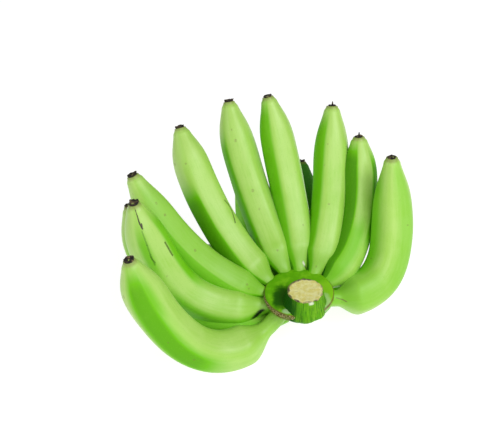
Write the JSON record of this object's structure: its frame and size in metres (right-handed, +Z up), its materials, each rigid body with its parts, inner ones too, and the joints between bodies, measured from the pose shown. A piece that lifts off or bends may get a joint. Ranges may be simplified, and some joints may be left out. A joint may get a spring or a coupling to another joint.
{
  "type": "hand of green bananas",
  "caption": "Hand of unripe green bananas: ridged, up-curving fingers in two rows round a short crown with a cut stalk stub.",
  "frame": {"origin": "on the surface that the hand lies on, under the middle of its bounding box", "axes": "+Z up along the cut stalk, +Y to the back, where the fan of fingers opens, +X to the right"},
  "size_m": [0.2478, 0.2208, 0.168],
  "materials": {
    "green_peel": "satin, waxy green peel with soft tonal ridges",
    "cut_pith": "dry, fibrous tan pith of the cut stalk",
    "dried_ends": "dry, rough brown-black flower ends"
  },
  "bodies": {
    "root": {"banana_hand": "green_peel"}
  },
  "joints": []
}
